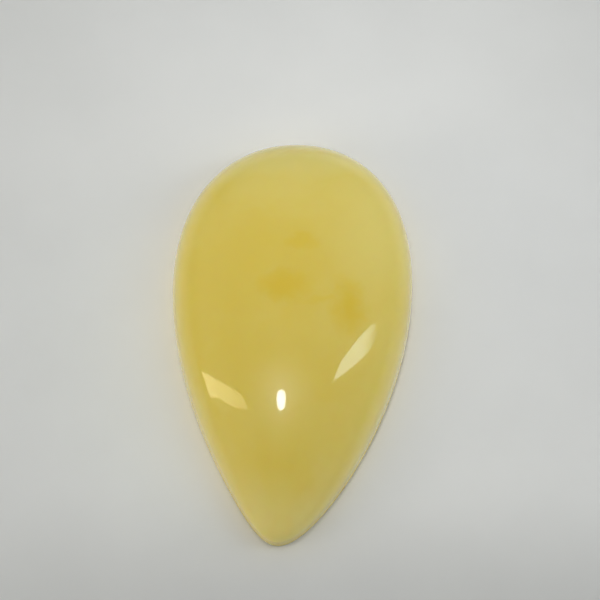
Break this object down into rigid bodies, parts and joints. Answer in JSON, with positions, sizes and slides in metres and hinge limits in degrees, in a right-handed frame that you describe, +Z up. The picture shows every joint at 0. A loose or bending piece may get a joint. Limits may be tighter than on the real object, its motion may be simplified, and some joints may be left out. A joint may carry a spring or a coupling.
{
  "type": "amber cabochon",
  "caption": "Milky yellow amber cut as a teardrop cabochon, with a polished dome, a low wall round its edge and a back ground flat.",
  "frame": {"origin": "on the flat back, under the middle of the stone's length and width", "axes": "+Z up out of the dome, +Y along the stone towards its round end, so the point is at -Y, and +X across it to the right"},
  "size_m": [0.0232, 0.04, 0.0092],
  "materials": {
    "amber": "polished"
  },
  "bodies": {
    "root": {"amber_teardrop": "amber"}
  },
  "joints": []
}
